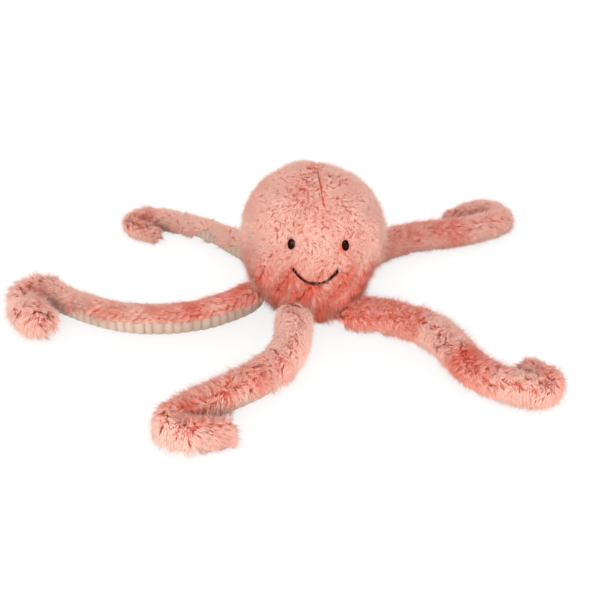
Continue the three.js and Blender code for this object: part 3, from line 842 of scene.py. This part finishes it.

# heading, bends and share are the frame's: the direction at the root (degrees), each stretch as its share
# of the length and its turn, and the length as a share of legSize's. ends says how much further than the
# frame's the soft root goes in under the head's pile, and the tip out (mm). crown turns the line on which
# the pile parts away from the very top (degrees). The rest are lists of 6, 11 or 21 values at even steps
# from root to tip: roll turns the cord strip (degrees), lift raises the leg off the floor and puff fills
# it out (mm), pile lengthens the pile, tone goes from deep to pale, parted from closed to parted pile,
# smooth from loose to combed flat, and comb says how far the pile lies towards the tip, or towards the
# head below 0.
# Some tone steps are painted light and shade: front_left's pale root is lifted against the head's shadow, and
# front_right's deep last step stands for the shade in its loop.
legs = {
    "front_left": {
        "crown": 16, "ends": (5, -5), "heading": 1, "share": 0.96,
        "bends": [[0.1, -5], [0.38, -50], [0.21, 1], [0.16, 158], [0.15, 2]],
        "roll": [0, -2, -6, -20, -38, -50, 0, 30, 30, 0, -20],
        "lift": [1.5, 0, 0, 0, 0, 0],
        "puff": [3.5, 3, 2.5, 2.5, 2, -2],
        "tone": [1.15, 1, 0.62, 0.6, 0.83, 0.86],
        "parted": [0, 0, 0.4, 0.8, 1, 1, 1, 0.7, 0.5, 0.4, 0.4],
        "comb": [1, 1, 0.8, 0.35, 0.1, 0.2, 0.3, 0.25, 0.2, 0.3, 0.4],
        "pile": [0.85, 0.95, 1.05, 1.05, 1.1, 1.1],
        "smooth": [1, 1, 0.85, 0.45, 0.15, 0.15, 0.2, 0.4, 0.5, 0.5, 0.5],
    },
    "front_right": {
        "crown": -12, "ends": (10, -2), "heading": 84, "share": 0.93,
        "bends": [[0.16, -21], [0.2, -40], [0.13, -2], [0.18, 39], [0.075, 4], [0.165, 166], [0.09, 0]],
        "roll": [0, -20, -26, -26, -24, 30],
        "lift": [0.5, 0, 0, 0, 0, 0],
        "puff": [1, 0.5, 0, -0.5, -0.5, -1],
        "tone": [0.35, 0.42, 0.4, 1.15, 0.85, 0.4, 0.55, 0.9, 0.6, 0.75, 0.5],
        "parted": [0.9, 0.9, 1, 0.1, 0.3, 1, 0.8, 0.4, 0.5, 0.3, 0.6],
        "comb": [0.5, 0.5, 0.3, 0.5, -0.3, 0.5],
        "pile": [1.05, 1.05, 1.05, 1.05, 1.05, 1.05],
        "smooth": [0.2, 0, 0, 0.1, 0.3, 0.6],
    },
    "left": {
        "crown": 20, "ends": (7, 6), "heading": -43, "share": 1.11,
        "bends": [[0.13, -20], [0.37, -55], [0.21, -13], [0.11, 140], [0.18, 45]],
        "roll": [-52, -58, -56, -48, -20, 0],
        "lift": [1, 0, 0, 0, 0, 0],
        "puff": [0, 0, 0, 0, 3, 5],
        "tone": [0.42, 0.42, 0.72, 0.85, 0.88, 0.92],
        "parted": [0.2, 0.2, 0.3, 0.2, 0.35, 0.3],
        "comb": [0.9, 0.9, 0.9, 0.7, 0.4, 0.4],
        "pile": [1, 0.9, 0.9, 1, 1.3, 1.4],
        "smooth": [0.9, 1, 1, 0.9, 0.4, 0.3],
    },
    "back_left": {
        "crown": 15, "ends": (6, -2), "heading": -134, "share": 0.95,
        "bends": [[0.26, -8], [0.43, 31], [0.165, 166], [0.145, 3]],
        "roll": [-60, -72, -76, -68, -42, -42, -76, -86, -60, 0, 30,
                 36, 36, 30, 15, 0, -15, -20, -25, -30, -30],
        "lift": [5, 4, 3, 0, 0, 0],
        "puff": [0, -2, -5, -4, -5.5, -7],
        "tone": [0.68, 0.95, 1.3, 1.1, 0.9, 0.85],
        "parted": [0.5, 0.5, 0.3, 0.4, 0.4, 0.4],
        "comb": [0.6, 0.6, 0.5, 0.3, 0.5, 0.5],
        "pile": [0.9, 0.9, 0.9, 1, 1.05, 1.05],
        "smooth": [0.8, 0.9, 0.9, 0.8, 0.8, 0.8],
    },
    "back_right": {
        "crown": -20, "ends": (6, 0), "heading": 150, "share": 1,
        "bends": [[0.15, -18], [0.28, -30], [0.25, 25], [0.175, 172], [0.145, -4]],
        "roll": [-10, -15, -20, -20, 10, 40],
        "lift": [3, 2, 0, 0, 0, 0],
        "puff": [0, 0, 0, 0, 1, 0],
        "tone": [0.65, 0.54, 0.54, 0.75, 1.1, 0.7],
        "parted": [0.5, 0.9, 1, 0.8, 0.2, 0.6],
        "comb": [0.7, 0.8, 0.8, 0.5, 0.4, 0.4],
        "pile": [1, 1.05, 1.05, 1.05, 1.05, 1],
        "smooth": [0.5, 0.3, 0.2, 0.4, 0.8, 0.8],
    },
}


def alongLeg(line, quality, distance):
    # A quality's value at a distance from the root, smoothed between its even steps
    steps = np.array(legs[line["name"]][quality], float)
    place = np.clip(distance / line["total"], 0, 1) * (len(steps) - 1)
    low = np.minimum(place.astype(int), len(steps) - 2)
    return steps[low] + (steps[low + 1] - steps[low]) * blendStep(0, 1, place - low)


def legLine(name):
    # The route as a fine table: the heading turns evenly along each bend, and its sum gives the place
    leg = legs[name]
    total = legSize["length"] * leg["share"]
    shares, turns = np.array(leg["bends"], float).T
    edges = np.concatenate([[0], np.cumsum(shares)]) * total
    headings = np.radians(leg["heading"] + np.concatenate([[0], np.cumsum(turns)]))
    distance = np.linspace(0, total, 1501)
    heading = np.interp(distance, edges, headings)
    middle = (heading[1:] + heading[:-1]) / 2
    step = np.stack([np.sin(middle), -np.cos(middle)], -1) * distance[1]
    place = jointSpot[f"{name}_leg_root"][:2] + np.concatenate([[[0, 0]], np.cumsum(step, 0)])
    tipFull = 1 - legSize["taper"]
    return {"distance": distance, "heading": heading, "place": place, "total": total,
            "tip": total - legSize["height"] / 2 * tipFull, "name": name}


def fullness(share):
    return 1 + legSize["swell"] * np.sin(np.pi * share) - legSize["taper"] * share


def legSurface(line, distance, turn, inset):
    # An oval section that stands on the floor, or above it by the leg's lift, carried along the route;
    # past either end it shrinks as a quarter circle does. turn 0 is sideways and 90 degrees is up.
    inside = np.clip(distance, 0, line["tip"])
    full = fullness(inside / line["total"])
    puff = alongLeg(line, "puff", inside)
    side = legSize["width"] / 2 * full - inset["side"] + puff / 2
    top = legSize["height"] * full - legSize["flat"] - inset["top"] + puff
    end = legSize["height"] / 2 * full - inset["end"] + puff / 2
    end = end + np.where(distance < 0, *legs[line["name"]]["ends"])
    angle = np.clip((distance - inside) / end, -1, 1) * np.pi / 2
    shrink = np.cos(angle)
    x = np.interp(inside, line["distance"], line["place"][:, 0])
    y = np.interp(inside, line["distance"], line["place"][:, 1])
    heading = headingAt(line, inside)
    reach = end * np.sin(angle)
    across = side * shrink * np.cos(turn)
    rise = (top - inset["bottom"]) / 2 * shrink * np.sin(turn)
    return np.stack([x + np.sin(heading) * reach - np.cos(heading) * across,
                     y - np.cos(heading) * reach - np.sin(heading) * across,
                     (top + inset["bottom"]) / 2 + rise + alongLeg(line, "lift", inside)], -1)


def legTangents(line, distance, turn, inset, step, angle):
    # The surface's two directions, from the points a step to each side along the leg and round it
    along = legSurface(line, distance + step, turn, inset) - legSurface(line, distance - step, turn, inset)
    around = legSurface(line, distance, turn + angle, inset) - legSurface(line, distance, turn - angle, inset)
    return along, around


def legNormals(line, distance, turn, inset):
    # Across the two directions of the surface, turned to point away from the leg's middle
    along, around = legTangents(line, distance, turn, inset, 0.4, 0.02)
    out = unit(np.cross(along, around))
    fromMiddle = legSurface(line, distance, turn, inset) - legMiddle(line, distance, inset)
    out = out * np.where((out * fromMiddle).sum(-1) >= 0, 1, -1)[:, None]
    return out, unit(along)


def legMiddle(line, distance, inset):
    low = legSurface(line, np.clip(distance, 0, line["tip"]), np.full_like(distance, -np.pi / 2), inset)
    high = legSurface(line, np.clip(distance, 0, line["tip"]), np.full_like(distance, np.pi / 2), inset)
    return (low + high) / 2


def legRoll(line, distance):
    return np.radians(alongLeg(line, "roll", distance))


def evenSpread(line, inset, low, span, foot, toe):
    # Distances and shares of the way round that lie evenly over the cloth: the cloth's area is summed
    # from root to tip and round each ring, and equal parts of both sums are looked up
    rows, columns = 900, 90
    far = np.linspace(-foot, line["tip"] + toe, rows)
    ring = (np.arange(columns) + 0.5) / columns
    distance, share = (part.ravel() for part in np.meshgrid(far, ring, indexing="ij"))
    turn = low + share * span + legRoll(line, distance)
    step, angle = 0.2, 0.02
    along, around = legTangents(line, distance, turn, inset, step, angle)
    area = np.linalg.norm(np.cross(along, around), axis=-1).reshape(rows, columns) / (4 * step * angle)
    area = area * (far[1] - far[0]) * span / columns + 1e-9
    whole = np.cumsum(area.sum(1))
    index = np.arange(int(whole[-1] / legSize["spacing"] ** 2)) + 0.5
    first, second = 0.7548776662466927, 0.5698402909980532  # multiples of these fill a square evenly
    wanted = index * first % 1 * whole[-1]
    distance = np.interp(wanted, whole, far)
    row = np.clip(np.searchsorted(whole, wanted), 0, rows - 1)
    ringSum = np.cumsum(area[row], 1)
    ringSum = ringSum / ringSum[:, -1:]
    wanted = (index * second % 1)[:, None]
    column = np.minimum((ringSum < wanted).sum(1, keepdims=True), columns - 1)
    after = np.take_along_axis(ringSum, column, 1)
    before = np.where(column > 0, np.take_along_axis(ringSum, np.maximum(column - 1, 0), 1), 0)
    share = (column + (wanted - before) / (after - before)) / columns
    return distance, share[:, 0]


def headingAt(line, distance):
    return np.interp(distance, line["distance"], line["heading"])


def curlInside(line, distance, out):
    # 1 inside a tight curl, 0 elsewhere: how much the route turns within a window, times the side it faces
    window = legSize["curlWindow"]
    heading = headingAt(line, distance)
    turning = (headingAt(line, distance + window) - headingAt(line, distance - window)) / (2 * window)
    facing = (out[:, 0] * np.cos(heading) + out[:, 1] * np.sin(heading)) * np.sign(turning)
    return blendStep(0.012, 0.034, np.abs(turning)) * blendStep(0.1, 0.8, facing)


def skinInset():
    inset = legSize["inset"]
    return {"side": inset, "top": inset, "end": inset, "bottom": legSize["floorGap"]}


def legTufts(line):
    inset = skinInset()
    rng = np.random.default_rng(len(line["name"]) * 31)
    cap = legSize["height"] / 2 - inset["end"]
    foot, toe = (cap + extra for extra in legs[line["name"]]["ends"])
    span = 2 * math.pi - 2 * math.radians(legSize["cordSpan"] - legSize["fringe"])
    bottom = math.radians(-90 + legSize["cordSpan"] - legSize["fringe"])
    distance, share = evenSpread(line, inset, bottom, span, foot, toe)
    distance = distance + rng.normal(0, 0.4, len(distance))
    share = np.clip(share + rng.normal(0, 0.4, len(share)) / (cap * span), 0, 1)
    # The tufts next to each seam with the cord are gathered into one row there
    gathered, seamRow = 0.455, 0.485
    share = np.where(np.abs(share - 0.5) > gathered, 0.5 + np.sign(share - 0.5) * seamRow, share)
    inside = np.clip(distance, 0, line["tip"])
    past = np.clip((distance - inside) / np.where(distance < 0, foot, toe), -1, 1)
    turn = bottom + share * span + legRoll(line, distance)
    at = legSurface(line, distance, turn, inset)
    out, along = legNormals(line, distance, turn, inset)
    down = unit(out * out[:, 2:] - np.array([0, 0, 1.0]) + along * 0.05)
    edge = np.abs(share - 0.5) * 2  # 1 at the strip of cord
    crown = math.radians(90 + legs[line["name"]]["crown"])
    low = np.abs((turn - crown + np.pi) % (2 * np.pi) - np.pi) / 2.1  # 0 on the crown, 1 near the floor
    side = np.cross(out, along)
    ridge = np.exp(-(low / 0.45) ** 2)
    smooth = alongLeg(line, "smooth", distance)
    rough = 1 - 0.75 * smooth
    jumble = ((drift(at, 24, 41) * 0.6 + rng.normal(0, 0.55, len(at)) * ridge) * rough)[:, None]
    comb = alongLeg(line, "comb", distance)
    flow = (along * (comb + 0.25 * drift(at, 30, 42) + rng.normal(0, 0.4, len(at)) * ridge * rough)[:, None]
            + down * ((np.clip(low * 2, 0, 1) * 0.6 + 0.5 * edge ** 3) * rough)[:, None] + side * jumble)
    flow = unit(flow - out * (flow * out).sum(-1, keepdims=True))
    parted = alongLeg(line, "parted", distance)
    mask = parted * (0.3 + 0.7 * blendStep(-0.4, 0.5, drift(at, 18, 47))) * np.exp(-(low / 0.5) ** 2)
    count = len(at)
    inCurl = curlInside(line, distance, out)
    longer = alongLeg(line, "pile", distance)
    # Long streaks of the combed pile: noise that changes fast round the leg and slowly along it
    combed = drift(np.stack([distance / 4, turn * 9, distance * 0], -1), 9, 48)
    tufts = {
        "at": at, "out": out, "flow": flow, "spacing": legSize["spacing"],
        "height": legSize["pile"] * longer * (1 + 0.08 * drift(at, 15, 44))
        * (1 - (0.3 + 0.2 * smooth) * edge ** 6) * (1 - 0.25 * smooth) * (1 + 0.45 * inCurl),
        "lean": legSize["sweep"] * longer * (1 + 0.15 * drift(at, 12, 45)) * (1 + 0.6 * smooth)
        * (1 - 0.6 * past ** 2),
        "loose": 1 - 0.45 * smooth,
        "streak": 1.4 + 3 * mask,
        "spread": np.full(count, legSize["spacing"] * strandShape["tuftSpread"]),
        "pull": 0.05 + 0.1 * mask + 0.1 * rng.uniform(-1, 1, count),
        # The tone is deeper in partings and inside tight curls: painted shade where the light is lost
        "tone": alongLeg(line, "tone", distance) + 0.1 * drift(at, 32, 43) + 0.14 * low - 0.1 * mask
        + rng.normal(0, 0.05, count) * (1 + 3 * mask)
        - 0.45 * inCurl + 0.17 * smooth * combed,
    }
    # Where the strip lies underneath, the lowest pile hangs down beside it
    hang = (1 - blendStep(*legSize["hangRoll"], np.abs(alongLeg(line, "roll", distance)))) * edge ** 5
    tufts["drawn"] = down * (legSize["hang"] * hang)[:, None]
    return drawTogether(tufts, legSize["lock"], 0.03 + 0.2 * mask)


def markRibs(piece, level):
    # How high each point lies on its rib, which sets the cord's colour, darker in the grooves as painted
    # shade; the middles of both ends come last
    attribute = piece.data.attributes.new("rib", "FLOAT", "POINT")
    attribute.data.foreach_set("value", np.concatenate([level, [0.3, 0.3]]).astype(np.float32))


def buildCord(line, materials):
    # A strip of cord under the leg: ribs across it, each a rounded crest between narrow grooves
    inset = {"side": legSize["inset"] - 1, "top": legSize["inset"],
             "end": legSize["inset"] - 1, "bottom": 0.15}
    cap = legSize["height"] / 2 - inset["end"]
    low, high = -cap * 0.9, line["tip"] + cap * 0.75
    ribs = round((high - low) / legSize["ribPitch"])
    rows, across = ribs * legSize["ribSteps"] + 1, 18
    distance = np.linspace(low, high, rows)
    rng = np.random.default_rng(len(line["name"]) * 7)
    phase = (distance - low) / (high - low) * ribs
    phase = phase + np.interp(phase, np.arange(ribs + 1), rng.uniform(-0.12, 0.12, ribs + 1))
    crest = np.abs(np.sin(np.pi * phase)) ** legSize["crestPower"]
    strong = np.interp(phase, np.arange(ribs + 1), rng.uniform(0.75, 1.1, ribs + 1))
    spread = np.radians(legSize["cordSpan"])
    turn = np.linspace(-spread, spread, across)
    rise = crest * strong  # 0 in a groove, about 1 on a crest
    wide, far = np.meshgrid(turn, distance, indexing="xy")
    around = -np.pi / 2 + wide + legRoll(line, far)
    base = legSurface(line, far.ravel(), around.ravel(), inset).reshape(rows, across, 3)
    middle = legMiddle(line, far.ravel(), inset).reshape(rows, across, 3)
    out = unit(base - middle)
    edge = (np.abs(wide) / spread) ** 8
    depth = (1 - rise)[:, None] * legSize["ribDepth"] * (1 - 0.4 * edge) + edge * legSize["hem"]
    outer = base - out * depth[..., None]
    outer[..., 2] = np.maximum(outer[..., 2], 0.1 + depth * 0.6)
    inner = base - out * (legSize["cordThick"] + legSize["hem"])
    inner[..., 2] = np.maximum(inner[..., 2], 1.9)
    ring = np.concatenate([outer, inner[:, ::-1]], 1)
    cord = closedTube(line["name"] + "_leg_cord", ring, materials["cord"])
    level = np.broadcast_to((rise * 0.95)[:, None], (rows, across))
    level = np.concatenate([level, level[:, ::-1] * 0.4], 1).ravel()
    markRibs(cord, level)
    return cord


def buildLeg(name, materials):
    line = legLine(name)
    inset = skinInset()
    cap = legSize["height"] / 2 - inset["end"]
    rings = int(line["total"] / 3)
    foot, toe = (cap + extra for extra in legs[name]["ends"])
    distance = np.concatenate([-foot * np.cos(np.linspace(0.15, np.pi / 2, 7)),
                               np.linspace(1.5, line["tip"] - 1.5, rings),
                               line["tip"] + toe * 0.97 * np.sin(np.linspace(0, np.pi / 2, 9))])
    around = np.linspace(0, 2 * np.pi, 48, endpoint=False)
    far, turn = np.meshgrid(distance, around, indexing="ij")
    far, turn = far.ravel(), turn.ravel()
    off = (turn + np.pi / 2 - legRoll(line, far) + np.pi) % (2 * np.pi) - np.pi
    outer, inner = math.radians(legSize["cordSpan"] + 4), math.radians(legSize["cordSpan"] - 10)
    covered = blendStep(outer, inner, np.abs(off))
    room = {key: value + legSize["underCord"] * covered for key, value in inset.items()}
    points = legSurface(line, far, turn, room).reshape(len(distance), len(around), 3)
    skin = closedTube(name + "_leg_skin", points, materials["backing"])
    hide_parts(f"{name}_leg_inner_filling", f"{name}_leg_outer_filling")
    cord = buildCord(line, materials)
    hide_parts(f"{name}_leg_inner_cord", f"{name}_leg_outer_cord")
    pile = growPile(name + "_leg_pile", legTufts(line), materials["pile"], 200 + len(name))
    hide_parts(f"{name}_leg_inner_fur", f"{name}_leg_outer_fur")

    for piece in (skin, cord, pile):
        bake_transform(piece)
    print(name, len(pile.data.polygons), "pile faces")


def buildBase(materials):
    # The base: a shallow dish of cord, flat where it stands, with ribs that run across
    rows, columns = 40, 220
    edge = headSet["seamHeight"]
    inset, crestPower, innerShare = 0.6, 0.55, 0.94
    share = np.linspace(0, 1, rows)
    floorRadius = float(headRadiusAt(np.array(0.0), inset))
    flatShare, risingShare, floorGap = 0.55, 0.45, 0.15  # the rows' two parts, and the flat one's height
    flatRows = share < flatShare
    radius = np.where(flatRows, share / flatShare * floorRadius, 0)
    rising = np.clip((share - flatShare) / risingShare, 0, 1) ** 1.4
    height = np.where(flatRows, floorGap, edge * rising + floorGap)
    radius = np.where(flatRows, radius, headRadiusAt(height, inset))
    turn = np.linspace(0, 2 * np.pi, columns, endpoint=False)
    x = radius[:, None] * np.cos(turn)
    y = radius[:, None] * np.sin(turn)
    crest = np.abs(np.sin(np.pi * y / legSize["ribPitch"])) ** crestPower
    z = height[:, None] + (1 - crest) * legSize["ribDepth"] * 0.9
    outer = np.stack([x, y, z], -1)[1:]
    inner = outer.copy()
    inner[..., :2] *= innerShare
    inner[..., 2] = np.maximum(height[1:, None] + legSize["cordThick"], 2.2)
    ring = np.concatenate([outer, inner[::-1]], 0)
    base = closedTube("base_cord", ring, materials["cord"])
    level = np.concatenate([crest[1:], crest[1:][::-1] * 0.4]).ravel()
    markRibs(base, level)
    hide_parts("base_panel")
    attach(base, "head")


def dressInside():
    # The pouch of pellets in the base keeps the frame's shape
    cotton, pellets = mottledStuff("cotton_lawn"), mottledStuff("polythene_pellets")
    inside = {"bean_pouch_upper": cotton, "bean_pouch_lower": cotton, "bean_filling": pellets}
    for node, material in inside.items():
        for place in frame["nodes"][node].material_slots:
            place.material = material


buildCamera()
buildStage()
materials = {
    "pile": plushPile(),
    "backing": mottledStuff("knit_backing"),
    "cord": jumboCord(),
    "thread": mottledStuff("satin_thread"),
}
print("stage and materials made")
buildHead(materials)
buildFace(materials)
buildBase(materials)
for legName in legs:
    buildLeg(legName, materials)
dressInside()
